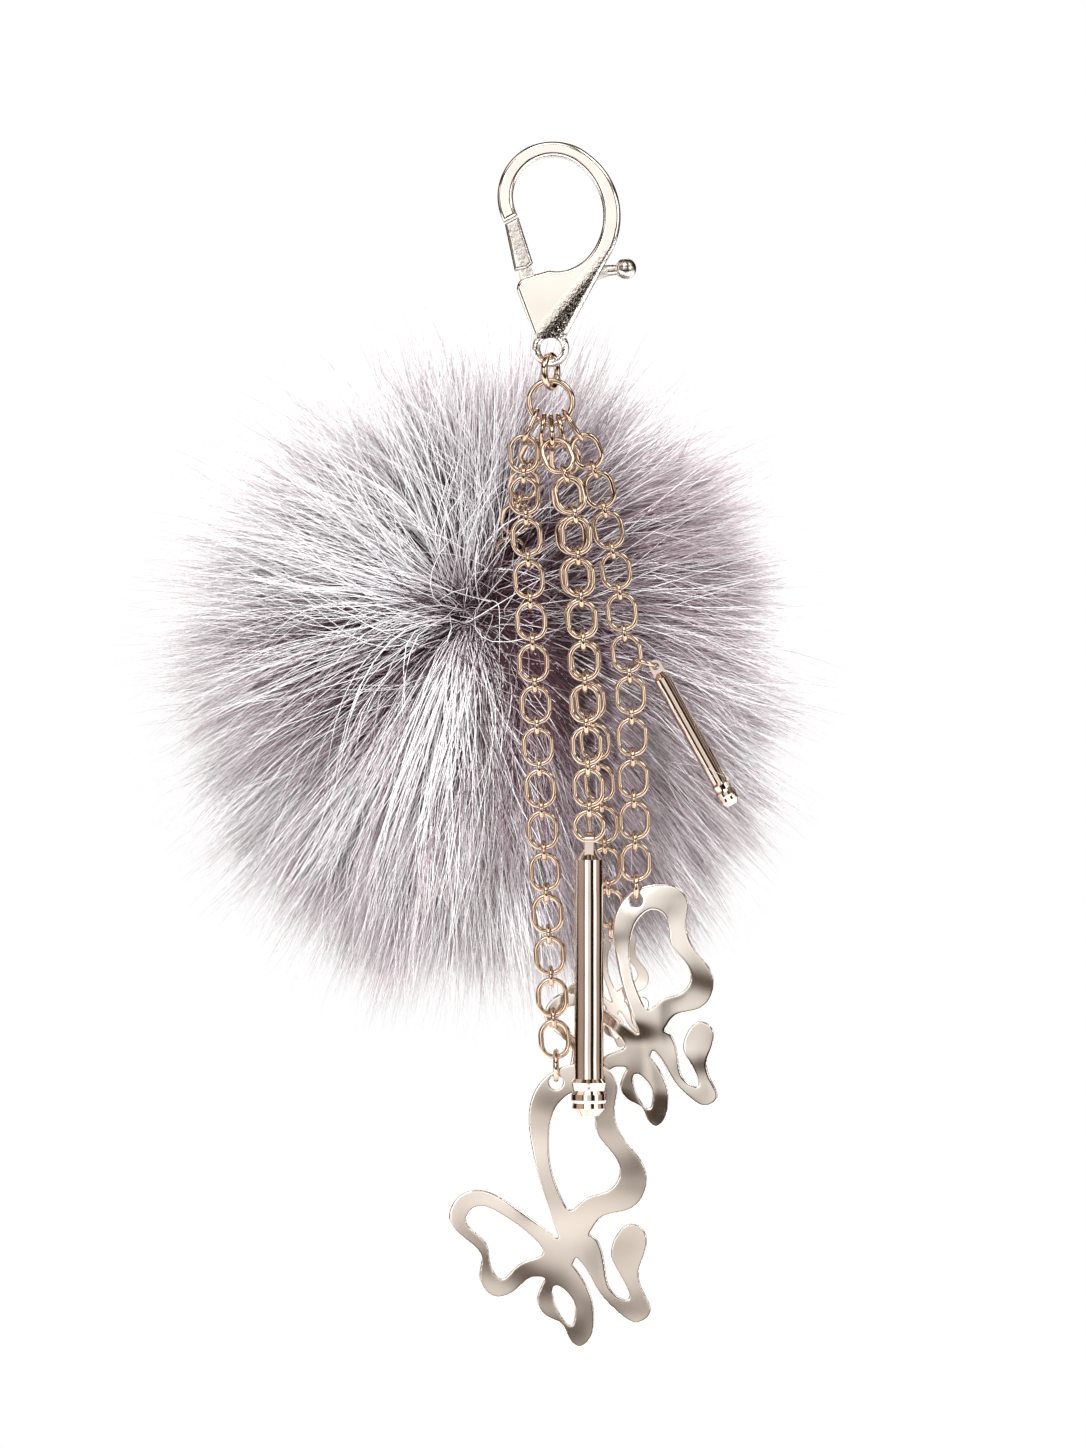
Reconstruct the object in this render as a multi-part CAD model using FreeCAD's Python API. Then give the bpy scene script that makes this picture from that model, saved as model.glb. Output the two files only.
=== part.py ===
import FreeCAD, Part

import math
import os

# Plush keychain: a trigger clasp that carries two jump rings, three chain strands with charms,
# a hidden fourth strand and a fur pompom on its own short chain.
# Millimetres. Origin: centre of the clasp's round hook opening. +Z up, +X right, +Y to the rear.

V = FreeCAD.Vector
UP = V(0, 0, 1)
RIGHT = V(1, 0, 0)
REAR = V(0, 1, 0)

# clasp
HOOK_R = 10.0             # outer radius of the hook's round end
HOOK_OPEN_R = 7.2         # radius of the inner land of the hook
CLASP_DEPTH = 4.0         # front to back
CLASP_EDGE = 0.8          # rounding of the cast edges
SLOT_DEPTH = 2.4          # slot between the two cheeks that holds the gate hub and lever
HUB_DEPTH = 2.0
HUB_R = 2.0
GATE_DEPTH = 3.6
GATE_EDGE = 0.6
PIVOT = V(-3.9, 0, -17.2)  # gate hinge
PIN_R = 0.6
PIN_BORE_R = 0.66
PIN_INSET = 0.05          # the pin stops short of each cheek's face
SPRING_WIRE = 0.16        # wire radius
SPRING_R = 1.02           # to the middle of the wire
SPRING_PITCH = 0.28
SPRING_TURNS = 3
SPRING_POCKET_R = 1.35    # recess in the hub
SPRING_POCKET_DEPTH = 1.3
STALK_R = 1.0             # neck between the thumb lever and its ball
BALL_R = 1.9
BALL_CENTRE = V(13.1, 0, -12.9)
EYE_CENTRE = V(-0.4, 0, -27.3)
EYE_HOLE_R = 1.9
EYE_WIRE = 0.72           # half the depth of the eye's rim
FOOT_TOP = -24.6          # the shield is thinned below this height

# rings and chain
UPPER_RING_R = 2.9        # to the middle of the wire
UPPER_RING_WIRE = 0.6     # wire radius
UPPER_RING_TURN = 66.0    # degrees about Z away from face on
LOWER_RING_R = 3.9
LOWER_RING_WIRE = 0.55
LINK_WIRE = 0.48          # wire radius of the oval links
LINK_HALF_WIDTH = 2.45    # to the middle of the wire
LINK_HALF_HEIGHT = 3.2
SMALL_RING_R = 1.6        # small round link between two ovals
SMALL_RING_WIRE = 0.45
HANG_GAP = 0.1            # play between two hanging wires
PLATE_GAP = 0.3           # play between a charm plate or bar and its ring
CHARM_RING_R = 2.6        # ring that carries the large butterfly
SECOND_RING_R = 2.2       # ring that carries the second butterfly, close in front of the hidden strand
CHARM_RING_WIRE = 0.5
BAR_RING_R = 2.6          # face-on ring that carries the round bar

# depth of each strand's layer, front to rear
LAYER_BAR = -5.8
LAYER_LEFT = 0.0
LAYER_RIGHT = 4.9
LAYER_HIDDEN = 9.8

# charms
PLATE_DEPTH = 1.6
CHARM_HOLE = (-4.6, 28.3)
SECOND_CHARM_SCALE = 0.86
CHARM_HOLE_R = 1.25
SMALL_CHARM_SCALE = 0.42
BAR_R = 2.6
BAR_LENGTH = 42.5
CAP_R = 3.2
CAP_HEIGHT = 6.6
THIN_BAR_R = 1.6
THIN_BAR_LENGTH = 24.0
THIN_CAP_R = 1.9
THIN_CAP_HEIGHT = 4.6
THIN_BAR_TILT = 29.0
THIN_BAR_HOOK = 68.0      # place on the oval's lower bend, degrees
THIN_BAR_LINK = 11        # which link of the right strand carries it
THIN_HOLE_R = 0.7
THIN_RING_R = 1.9
THIN_TAB_HALF = 0.5
BAR_HOLE_R = 1.0
BAR_TAB_HALF = 0.8
TAB_SHARE = 0.72          # tab radius as a share of the bar's
TAPER_SHARE = 0.7         # height of the bar's shoulder as a share of its radius
TAB_CLEAR = 1.4           # from the tab's hole to the bar's shoulder
TAB_FOOT = 2.4            # height of the flat foot that joins the tab to the bar
SMALL_PLATE_DEPTH = 1.2

# pompom
CORE_R = 20.0
POMPOM_CENTRE = V(-13.0, 33.0, -84.0)
FUR_R = 58.0
FUR_FRONT = 12.3          # the fur is parted flat behind the strands
LOOP_R = 2.2              # loop on the cap
LOOP_WIRE = 0.5
CUP_R = 5.5
CUP_THICKNESS = 0.8
CUP_HEIGHT = 5.0
CUP_SKIRT = 3.0           # how far the cap reaches down over the core
CORE_PLAY = 0.05          # between the fur's hollow and the core
WELL_R = 5.6              # opening in the fur round the chain

PARTS = {}


def placed(shape, centre, side, along):
    """Copy of a shape drawn in the XZ plane: its X goes to side and its Z to along."""
    z_axis = V(along).normalize()
    x_axis = V(side) - z_axis * side.dot(z_axis)
    x_axis.normalize()
    y_axis = z_axis.cross(x_axis)
    matrix = FreeCAD.Matrix(x_axis.x, y_axis.x, z_axis.x, centre.x,
                            x_axis.y, y_axis.y, z_axis.y, centre.y,
                            x_axis.z, y_axis.z, z_axis.z, centre.z,
                            0, 0, 0, 1)
    copy = shape.copy()
    copy.Placement = FreeCAD.Placement(matrix).multiply(shape.Placement)
    return copy


def ring(radius, wire):
    """Round ring in the XZ plane."""
    return Part.makeTorus(radius, wire, V(0, 0, 0), REAR)


def oval_link():
    """Oval link in the XZ plane: two half rings and two straight sides."""
    straight = LINK_HALF_HEIGHT - LINK_HALF_WIDTH
    arc_top = Part.Arc(V(LINK_HALF_WIDTH, 0, straight), V(0, 0, LINK_HALF_HEIGHT),
                       V(-LINK_HALF_WIDTH, 0, straight)).toShape()
    left = Part.LineSegment(V(-LINK_HALF_WIDTH, 0, straight), V(-LINK_HALF_WIDTH, 0, -straight)).toShape()
    arc_bottom = Part.Arc(V(-LINK_HALF_WIDTH, 0, -straight), V(0, 0, -LINK_HALF_HEIGHT),
                          V(LINK_HALF_WIDTH, 0, -straight)).toShape()
    right = Part.LineSegment(V(LINK_HALF_WIDTH, 0, -straight), V(LINK_HALF_WIDTH, 0, straight)).toShape()
    path = Part.Wire([arc_top, left, arc_bottom, right])
    section = Part.Wire([Part.Circle(V(LINK_HALF_WIDTH, 0, straight), UP, LINK_WIRE).toShape()])
    return path.makePipeShell([section], True, False)


OVAL = oval_link()
SMALL_RING = ring(SMALL_RING_R, SMALL_RING_WIRE)


def solid_of(shape):
    """The one closed solid of a shape."""
    solids = shape.Solids
    if solids:
        return max(solids, key=lambda one: one.Volume)
    return Part.Solid(shape.Shells[0])


def keep(name, shapes):
    """Remember a node: one solid, or a group of separate solids."""
    if not isinstance(shapes, list):
        shapes = [shapes]
    PARTS.setdefault(name, []).extend(solid_of(shape) for shape in shapes)


def curve_face(points):
    """Face in the XZ plane inside a smooth closed curve through the points."""
    curve = Part.BSplineCurve()
    curve.interpolate([V(x, 0, z) for x, z in points], PeriodicFlag=True)
    return Part.Face(Part.Wire([curve.toShape()]))


def slab(face, depth):
    """Slab of the given depth, centred on the face's plane."""
    moved = face.copy()
    moved.translate(REAR * (-depth / 2))
    return moved.extrude(REAR * depth)


def rounded(shape, depth, radius):
    """Round the front and rear edges of a slab that is centred on the plane Y = 0."""
    edges = [edge for edge in shape.Edges
             if all(abs(abs(point.y) - depth / 2) < 1e-4 for point in edge.discretize(5))]
    return shape.makeFillet(radius, edges)


def clasp_outline():
    """Outline of the cast body: hook from its tip over the top, right arm, shield and left cheek."""
    tip_angle = math.radians(208)
    tip_out = V(HOOK_R * math.cos(tip_angle), 0, HOOK_R * math.sin(tip_angle))
    tip_in = V(HOOK_OPEN_R * math.cos(tip_angle), 0, HOOK_OPEN_R * math.sin(tip_angle))
    crown_angle = math.radians(50)
    crown_out = V(HOOK_R * math.cos(crown_angle), 0, HOOK_R * math.sin(crown_angle))
    crown_in = V(HOOK_OPEN_R * math.cos(crown_angle), 0, HOOK_OPEN_R * math.sin(crown_angle))
    arm_low = V(6.8, 0, -10.2)
    seat = V(-0.6, 0, -13.2)
    shoulder = V(-3.1, 0, -13.9)
    cheek_top = V(-4.5, 0, -14.4)
    cheek_left = V(-6.5, 0, -16.8)
    waist_left = V(-3.2, 0, -25.6)
    waist_right = V(2.2, 0, -25.6)
    hip = V(10.6, 0, -10.0)
    edges = [
        Part.Arc(tip_out, V(0, 0, HOOK_R), crown_out),
        Part.Arc(crown_out, V(11.9, 0, -0.8), hip),
        Part.Arc(hip, V(6.4, 0, -17.6), waist_right),
        Part.LineSegment(waist_right, waist_left),
        Part.LineSegment(waist_left, cheek_left),
        Part.Arc(cheek_left, V(-6.0, 0, -15.2), cheek_top),
        Part.LineSegment(cheek_top, shoulder),
        Part.LineSegment(shoulder, seat),
        Part.Arc(seat, V(3.9, 0, -12.6), arm_low),
        Part.Arc(arm_low, V(9.0, 0, -2.4), crown_in),
        Part.Arc(crown_in, V(0, 0, HOOK_OPEN_R), tip_in),
        Part.LineSegment(tip_in, tip_out),
    ]
    return Part.Face(Part.Wire([edge.toShape() for edge in edges]))


def make_clasp_body():
    """Cast body: hook, shield with its slot, and the round eye for the first jump ring."""
    body = rounded(slab(clasp_outline(), CLASP_DEPTH), CLASP_DEPTH, CLASP_EDGE)
    # slot between the cheeks, wide enough for the lever's whole stroke
    slot_points = [V(-9, 0, -12.2), V(-1.2, 0, -12.2), V(-1.2, 0, -14.4), V(3.5, 0, -13.6), V(12.5, 0, -11.5),
                   V(12.5, 0, -22.4), V(3.2, 0, -21.6), V(-4.0, 0, -21.4), V(-9, 0, -20.6), V(-9, 0, -12.2)]
    slot = slab(Part.Face(Part.makePolygon(slot_points)), SLOT_DEPTH)
    body = body.cut(slot)
    # round eye under the shield, whose foot is thinned so that the ring can swing
    hole = Part.makeCylinder(EYE_HOLE_R, CLASP_DEPTH, EYE_CENTRE - REAR * (CLASP_DEPTH / 2), REAR)
    front_trim = Part.makeBox(12, 3, 4, V(-6, -EYE_WIRE - 3, FOOT_TOP - 4))
    rear_trim = Part.makeBox(12, 3, 4, V(-6, EYE_WIRE, FOOT_TOP - 4))
    body = body.cut(hole.fuse([front_trim, rear_trim]))
    body = body.fuse(placed(ring(EYE_HOLE_R + EYE_WIRE, EYE_WIRE), EYE_CENTRE, RIGHT, UP))
    pin_hole = Part.makeCylinder(PIN_R, CLASP_DEPTH, PIVOT - REAR * (CLASP_DEPTH / 2), REAR)
    body = body.cut(pin_hole)
    return body.removeSplitter()


def make_gate():
    """Gate arm, hub and thumb lever in one casting."""
    arm_points = [V(-8.67, 0, -5.0), V(-6.24, 0, -3.71), V(-3.6, 0, -12.0),
                  V(-4.7, 0, -12.9), V(-6.9, 0, -13.4)]
    arm = Part.Face(Part.makePolygon(arm_points + [arm_points[0]]))
    arm = rounded(slab(arm, GATE_DEPTH), GATE_DEPTH, GATE_EDGE)
    neck_points = [V(-6.5, 0, -12.0), V(-4.1, 0, -12.0), V(-2.6, 0, -16.8),
                   V(-5.6, 0, -16.8), V(-6.5, 0, -12.0)]
    neck = slab(Part.Face(Part.makePolygon(neck_points)), HUB_DEPTH)
    hub = Part.makeCylinder(HUB_R, HUB_DEPTH, PIVOT - REAR * (HUB_DEPTH / 2), REAR)
    lever_points = [V(-3.9, 0, -15.6), V(9.8, 0, -12.5), V(9.8, 0, -14.3),
                    V(-3.6, 0, -19.0), V(-3.9, 0, -15.6)]
    lever = slab(Part.Face(Part.makePolygon(lever_points)), HUB_DEPTH)
    stalk_foot = V(9.2, 0, -13.35)
    stalk_way = BALL_CENTRE - stalk_foot
    stalk = Part.makeCylinder(STALK_R, stalk_way.Length, stalk_foot, stalk_way)
    ball = Part.makeSphere(BALL_R, BALL_CENTRE)
    gate = arm.fuse([neck, hub, lever, stalk, ball])
    bore = Part.makeCylinder(PIN_BORE_R, CLASP_DEPTH, PIVOT - REAR * (CLASP_DEPTH / 2), REAR)
    hub_front = PIVOT - REAR * (HUB_DEPTH / 2)
    spring_pocket = Part.makeCylinder(SPRING_POCKET_R, SPRING_POCKET_DEPTH, hub_front, REAR)
    return gate.cut(bore.fuse(spring_pocket)).removeSplitter()


def make_gate_spring():
    """Torsion spring wound round the pin inside the hub, drawn as close turns."""
    first_turn = PIVOT - REAR * (HUB_DEPTH / 2 - 0.3)
    coil = Part.makeTorus(SPRING_R, SPRING_WIRE, first_turn, REAR)
    for turn in range(1, SPRING_TURNS):
        place = first_turn + REAR * (SPRING_PITCH * turn)
        coil = coil.fuse(Part.makeTorus(SPRING_R, SPRING_WIRE, place, REAR))
    return coil


def upper_ring_direction():
    turn = math.radians(UPPER_RING_TURN)
    return V(math.cos(turn), math.sin(turn), 0)


def upper_ring_centre():
    top = EYE_CENTRE.z - EYE_HOLE_R + UPPER_RING_WIRE + HANG_GAP
    return V(EYE_CENTRE.x, 0, top - UPPER_RING_R)


def lower_ring_centre():
    bottom = upper_ring_centre().z - UPPER_RING_R
    top = bottom + UPPER_RING_WIRE + LOWER_RING_WIRE + HANG_GAP
    return V(EYE_CENTRE.x, 0, top - LOWER_RING_R)


def layer_point(stations, z):
    """Place at height z on a route given as stations (z, x, y), eased between stations."""
    if z >= stations[0][0]:
        return V(stations[0][1], stations[0][2], z)
    for (z0, x0, y0), (z1, x1, y1) in zip(stations, stations[1:]):
        if z >= z1:
            share = (z0 - z) / (z0 - z1)
            return V(x0 + (x1 - x0) * share, y0 + (y1 - y0) * share, z)
    return V(stations[-1][1], stations[-1][2], z)


def strand(hook_angle, fan, lean, stations, ovals):
    """Hang a strand on the lower ring and return its links as (shape, top, bottom), from the top down.

    hook_angle is the place on the ring's bottom, fan the first link's sideways slope and lean its
    slope to the rear, all in degrees; stations are the route of the rest of the strand.
    """
    gap = LOWER_RING_WIRE + LINK_WIRE + HANG_GAP
    angle = math.radians(hook_angle)
    slope = math.radians(lean)
    outward = V(math.sin(angle), 0, -math.cos(angle))
    down_strand = outward * math.cos(slope) + REAR * math.sin(slope)
    top = lower_ring_centre() + outward * LOWER_RING_R - down_strand * gap
    down = V(math.tan(math.radians(fan)), math.tan(slope), -1).normalize()
    length = 2 * LINK_HALF_HEIGHT
    bottom = top + down * length
    links = [(placed(OVAL, (top + bottom) * 0.5, REAR, down * -1), top, bottom)]
    play = 2 * LINK_WIRE + HANG_GAP
    ring_play = LINK_WIRE + SMALL_RING_WIRE + HANG_GAP
    middle = (down + (layer_point(stations, bottom.z - length) - bottom).normalize()).normalize()
    top = bottom - middle * play
    for number in range(ovals):
        aim = layer_point(stations, top.z - length)
        down = (aim - top).normalize()
        bottom = top + down * length
        links.append((placed(OVAL, (top + bottom) * 0.5, RIGHT, down * -1), top, bottom))
        if number == ovals - 1:
            break
        aim = layer_point(stations, bottom.z - 2 * SMALL_RING_R)
        down = ((aim - bottom).normalize() + down).normalize()
        ring_centre = bottom + down * (SMALL_RING_R - ring_play)
        ring_bottom = ring_centre + down * SMALL_RING_R
        links.append((placed(SMALL_RING, ring_centre, REAR, down * -1), ring_centre - down * SMALL_RING_R,
                      ring_bottom))
        top = ring_bottom - down * ring_play
    return links


def charm_ring_below(bottom, radius):
    """Edge-on ring that hangs from an oval's lower end; returns the ring and its lowest wire centre."""
    play = LINK_WIRE + CHARM_RING_WIRE + HANG_GAP
    centre = bottom - UP * (radius - play)
    return placed(ring(radius, CHARM_RING_WIRE), centre, REAR, UP), centre - UP * radius


WING_TOP = [(-3.0, -3.0), (-7.0, 8.8), (-9.1, 17.6), (-8.8, 26.0), (-5.6, 30.1), (-1.0, 31.7), (4.2, 31.0),
            (6.4, 28.0), (6.0, 23.5), (7.5, 18.4), (11.2, 13.4), (11.2, 8.0), (8.6, 5.4), (4.0, 4.2), (0.8, 0.0)]
WING_TOP_HOLE = [(-2.3, 26.0), (-4.6, 23.6), (-5.9, 18.0), (-5.4, 12.6), (-3.6, 7.6), (-2.0, 5.4), (0.4, 7.2),
                 (4.7, 8.8), (6.8, 11.6), (5.0, 16.0), (2.7, 19.2), (2.2, 23.2), (0.6, 25.8)]
WING_LEFT = [(-1.6, -1.6), (-7.0, 2.3), (-13.1, 6.7), (-18.6, 9.0), (-22.5, 7.4), (-23.8, 3.6), (-20.2, -0.6),
             (-18.1, -3.2), (-18.4, -6.6), (-16.0, -10.2), (-12.4, -9.6), (-8.6, -6.9), (-4.2, -7.0)]
WING_LEFT_HOLE = [(-20.6, 4.2), (-18.8, 5.9), (-13.9, 4.1), (-9.4, 0.8), (-7.0, -2.4), (-11.5, -4.6),
                  (-14.4, -7.0), (-16.2, -4.9), (-17.0, -0.9), (-19.4, 1.6)]
WING_LOW = [(-2.6, -3.4), (-0.2, -6.3), (1.8, -10.4), (2.3, -14.6), (1.4, -18.2), (-0.4, -19.4), (-2.3, -18.0),
            (-3.6, -15.4), (-6.4, -13.9), (-8.0, -11.2), (-7.2, -8.2)]
WING_LOW_HOLE = [(-4.9, -8.6), (-4.9, -11.0), (-1.6, -15.2), (-1.2, -13.4), (-2.4, -10.0)]
WING_HOOK = [(-2.4, -2.4), (1.0, -5.8), (3.2, -9.7), (6.7, -13.4), (10.1, -15.0), (12.4, -13.4), (11.4, -9.8),
             (10.3, -6.2), (11.6, -1.6), (11.0, 2.0), (8.8, 2.9), (6.4, 1.0), (5.3, -2.6), (7.4, -7.4),
             (8.3, -10.8), (6.6, -10.2), (4.2, -4.6), (0.6, 0.8)]


def wing(outline, holes, scale, depth):
    """One wing frame of a butterfly."""
    face = curve_face(outline)
    for points in holes:
        face = face.cut(curve_face(points))
    face.scale(scale, V(0, 0, 0))
    return slab(face.Faces[0], depth)


def butterfly(scale, depth):
    """Open-wing butterfly plate; its own origin is the middle of the body."""
    plate = wing(WING_TOP, [WING_TOP_HOLE], scale, depth)
    plate = plate.fuse(wing(WING_LEFT, [WING_LEFT_HOLE], scale, depth))
    plate = plate.fuse(wing(WING_LOW, [WING_LOW_HOLE], scale, depth))
    plate = plate.fuse(wing(WING_HOOK, [], scale, depth))
    hole_place = V(CHARM_HOLE[0] * scale, -depth, CHARM_HOLE[1] * scale)
    hole = Part.makeCylinder(CHARM_HOLE_R * math.sqrt(scale), 2 * depth, hole_place, REAR)
    return plate.cut(hole)


def hung_plate(scale, depth, wire, support, layer):
    """Butterfly whose charm hole hangs on a wire at the support point."""
    rest = CHARM_HOLE_R * math.sqrt(scale) - wire - PLATE_GAP
    plate = butterfly(scale, depth)
    plate.translate(V(support.x - CHARM_HOLE[0] * scale, layer, support.z - rest - CHARM_HOLE[1] * scale))
    return plate


def lathe(profile, base):
    """Turned solid about the vertical through base, from (radius, height) corners."""
    points = [V(0, 0, profile[0][1])] + [V(radius, 0, z) for radius, z in profile] + [V(0, 0, profile[-1][1])]
    face = Part.Face(Part.makePolygon(points + [points[0]]))
    body = face.revolve(V(0, 0, 0), UP, 360)
    body.translate(base)
    return body


def bar_with_tab(radius, length, tab_half, base, hole_r):
    """Round bar that hangs from a flat tab; base is the middle of the tab's cross hole."""
    tab_r = radius * TAB_SHARE
    taper = radius * TAPER_SHARE
    rod = lathe([(radius * 0.5, -TAB_CLEAR), (radius, -TAB_CLEAR - taper), (radius, -length)], base)
    tab = Part.makeCylinder(tab_r, 2 * tab_half, base - RIGHT * tab_half, RIGHT)
    foot_corner = base + V(-tab_half, -tab_r, -TAB_CLEAR - TAB_FOOT / 2)
    foot = Part.makeBox(2 * tab_half, 2 * tab_r, TAB_FOOT, foot_corner)
    rod = rod.fuse([tab, foot])
    return rod.cut(Part.makeCylinder(hole_r, 2 * radius, base - RIGHT * radius, RIGHT)).removeSplitter()


def end_cap(radius, height, top):
    """Turned bead cap with a raised ridge, on the lower end of a bar."""
    return lathe([(radius * 0.86, 0), (radius, -height * 0.1), (radius * 0.9, -height * 0.32),
                  (radius, -height * 0.42), (radius, -height * 0.58), (radius * 0.92, -height * 0.66),
                  (radius * 0.95, -height * 0.8), (radius * 0.6, -height)], top)


def keep_links(links, shares):
    """Share a strand's links out over nodes; shares is a list of (node, number of links)."""
    first = 0
    for name, count in shares:
        keep(name, [shape for shape, _, _ in links[first:first + count]])
        first += count
        if first < len(links):
            print("hinge below", name, tuple(round(value, 3) for value in links[first - 1][2]))


def make_left_strand():
    """Longest strand, with the large butterfly."""
    route = [(-44, -5.6, -1.2), (-56, -5.0, LAYER_LEFT), (-105, -2.4, LAYER_LEFT),
             (-150, 0.2, LAYER_LEFT), (-170, 1.6, LAYER_LEFT)]
    links = strand(-58, -24, -13, route, 15)
    keep_links(links, [("left_strand_top", 5), ("left_strand_middle", 12), ("left_strand_lower", 13)])
    charm_ring, support = charm_ring_below(links[-1][2], CHARM_RING_R)
    print("hinge large_butterfly", support)
    keep("large_butterfly_ring", charm_ring)
    keep("large_butterfly", hung_plate(1.0, PLATE_DEPTH, CHARM_RING_WIRE, support, LAYER_LEFT))


def make_front_strand():
    """Short strand in front of the others, with the round bar."""
    route = [(-43, 0.4, -4.6), (-56, 3.8, LAYER_BAR), (-75, 5.2, LAYER_BAR), (-125, 7.0, LAYER_BAR)]
    links = strand(1, 3, -40, route, 9)
    keep_links(links, [("front_strand_top", 5), ("front_strand_lower", 13)])
    play = LINK_WIRE + SMALL_RING_WIRE + HANG_GAP
    small_centre = links[-1][2] - UP * (SMALL_RING_R - play)
    keep("front_strand_lower", placed(SMALL_RING, small_centre, REAR, UP))
    small_bottom = small_centre - UP * SMALL_RING_R
    bar_ring_play = SMALL_RING_WIRE + CHARM_RING_WIRE + HANG_GAP
    ring_centre = small_bottom - UP * (BAR_RING_R - bar_ring_play)
    keep("round_bar_ring", placed(ring(BAR_RING_R, CHARM_RING_WIRE), ring_centre, RIGHT, UP))
    ring_bottom = ring_centre - UP * BAR_RING_R
    print("hinge round_bar", ring_bottom)
    base = ring_bottom - UP * (BAR_HOLE_R - CHARM_RING_WIRE - PLATE_GAP)
    keep("round_bar", bar_with_tab(BAR_R, BAR_LENGTH, BAR_TAB_HALF, base, BAR_HOLE_R))
    keep("round_bar_cap", end_cap(CAP_R, CAP_HEIGHT, base - UP * BAR_LENGTH))


def make_thin_bar(link):
    """Thin bar on its own small ring, beside the strand on the lower end of one oval link."""
    _, top, bottom = link
    up = (top - bottom).normalize()
    angle = math.radians(THIN_BAR_HOOK)
    radius = LINK_HALF_WIDTH - LINK_WIRE - SMALL_RING_WIRE - HANG_GAP
    arc_centre = bottom + up * LINK_HALF_WIDTH
    side = REAR.cross(up)
    outward = side * math.sin(angle) - up * math.cos(angle)
    ring_centre = arc_centre + outward * (radius + THIN_RING_R)
    keep("thin_bar_ring", placed(ring(THIN_RING_R, SMALL_RING_WIRE), ring_centre, REAR, outward))
    ring_bottom = ring_centre + outward * THIN_RING_R
    print("hinge thin_bar", ring_bottom)
    base = V(0, 0, -(THIN_HOLE_R - SMALL_RING_WIRE - HANG_GAP))
    bar = bar_with_tab(THIN_BAR_R, THIN_BAR_LENGTH, THIN_TAB_HALF, base, THIN_HOLE_R)
    cap = end_cap(THIN_CAP_R, THIN_CAP_HEIGHT, base - UP * THIN_BAR_LENGTH)
    for name, shape in (("thin_bar", bar), ("thin_bar_cap", cap)):
        shape.rotate(V(0, 0, 0), UP, 90)
        shape.rotate(V(0, 0, 0), REAR, -THIN_BAR_TILT)
        shape.translate(ring_bottom)
        keep(name, shape)


def make_right_strand():
    """Right strand with the second butterfly, and the thin bar on its middle."""
    route = [(-44, 6.2, 1.2), (-56, 9.2, 3.8), (-68, 11.6, LAYER_RIGHT), (-88, 14.0, LAYER_RIGHT),
             (-130, 15.2, LAYER_RIGHT)]
    links = strand(56, 32, 2, route, 11)
    keep_links(links, [("right_strand_top", 5), ("right_strand_lower", 17)])
    make_thin_bar(links[THIN_BAR_LINK])
    charm_ring, support = charm_ring_below(links[-1][2], SECOND_RING_R)
    print("hinge second_butterfly", support)
    keep("second_butterfly_ring", charm_ring)
    second = hung_plate(SECOND_CHARM_SCALE, PLATE_DEPTH, CHARM_RING_WIRE, support, LAYER_RIGHT)
    keep("second_butterfly", second)


def make_hidden_strand():
    """Strand behind the others, with the small butterfly."""
    route = [(-44, 1.8, 3.4), (-62, 3.4, LAYER_HIDDEN), (-105, 8.4, LAYER_HIDDEN),
             (-160, 12.8, LAYER_HIDDEN)]
    links = strand(28, 13, 27, route, 12)
    keep_links(links, [("hidden_strand_top", 5), ("hidden_strand_lower", 19)])
    centre = links[-1][2] - UP * (SMALL_RING_R - LINK_WIRE - SMALL_RING_WIRE - HANG_GAP)
    support = centre - UP * SMALL_RING_R
    print("hinge small_butterfly", support)
    keep("small_butterfly_ring", placed(SMALL_RING, centre, REAR, UP))
    plate = hung_plate(SMALL_CHARM_SCALE, SMALL_PLATE_DEPTH, SMALL_RING_WIRE, support, LAYER_HIDDEN)
    keep("small_butterfly", plate)


def make_pompom():
    """Stuffed core with its metal cap and loop, the fur round it, and the short chain that carries it."""
    route = [(-44, -4.4, 5.4), (-72, -9.2, 22.4)]
    links = strand(-24, -7, 36, route, 4)
    keep("pompom_chain", [shape for shape, _, _ in links])
    hang = links[-1][2]
    outward = (hang - POMPOM_CENTRE).normalize()
    loop_centre = hang + outward * (LINK_WIRE + LOOP_WIRE + HANG_GAP - LOOP_R)
    loop = placed(ring(LOOP_R, LOOP_WIRE), loop_centre, REAR, outward)
    plate = Part.makeCylinder(CUP_R, CUP_HEIGHT, POMPOM_CENTRE + outward * (CORE_R - CUP_SKIRT), outward)
    dome = Part.makeSphere(CORE_R + CUP_THICKNESS, POMPOM_CENTRE)
    core = Part.makeSphere(CORE_R, POMPOM_CENTRE)
    cup = plate.common(dome).fuse(loop).cut(core).removeSplitter()
    keep("pompom_cap", cup)
    keep("pompom_core", core)
    fur = Part.makeSphere(FUR_R, POMPOM_CENTRE)
    front = Part.makeBox(4 * FUR_R, 4 * FUR_R, 4 * FUR_R,
                         POMPOM_CENTRE + V(-2 * FUR_R, FUR_FRONT - POMPOM_CENTRE.y - 4 * FUR_R, -2 * FUR_R))
    well = Part.makeCylinder(WELL_R, FUR_R, POMPOM_CENTRE, outward)
    hollow = Part.makeSphere(CORE_R + CORE_PLAY, POMPOM_CENTRE)
    keep("pompom_fur", fur.cut(front).cut(well.fuse(hollow)))


def make_rings():
    keep("upper_jump_ring", placed(ring(UPPER_RING_R, UPPER_RING_WIRE), upper_ring_centre(),
                                   upper_ring_direction(), UP))
    keep("lower_jump_ring", placed(ring(LOWER_RING_R, LOWER_RING_WIRE), lower_ring_centre(), RIGHT, UP))
    print("hinge upper ring", EYE_CENTRE)
    print("hinge lower ring", lower_ring_centre() + UP * LOWER_RING_R)


def make_clasp():
    keep("clasp_body", make_clasp_body())
    keep("clasp_gate", make_gate())
    pin_half = CLASP_DEPTH / 2 - PIN_INSET
    keep("gate_pin", Part.makeCylinder(PIN_R, 2 * pin_half, PIVOT - REAR * pin_half, REAR))
    keep("gate_spring", make_gate_spring())


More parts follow.
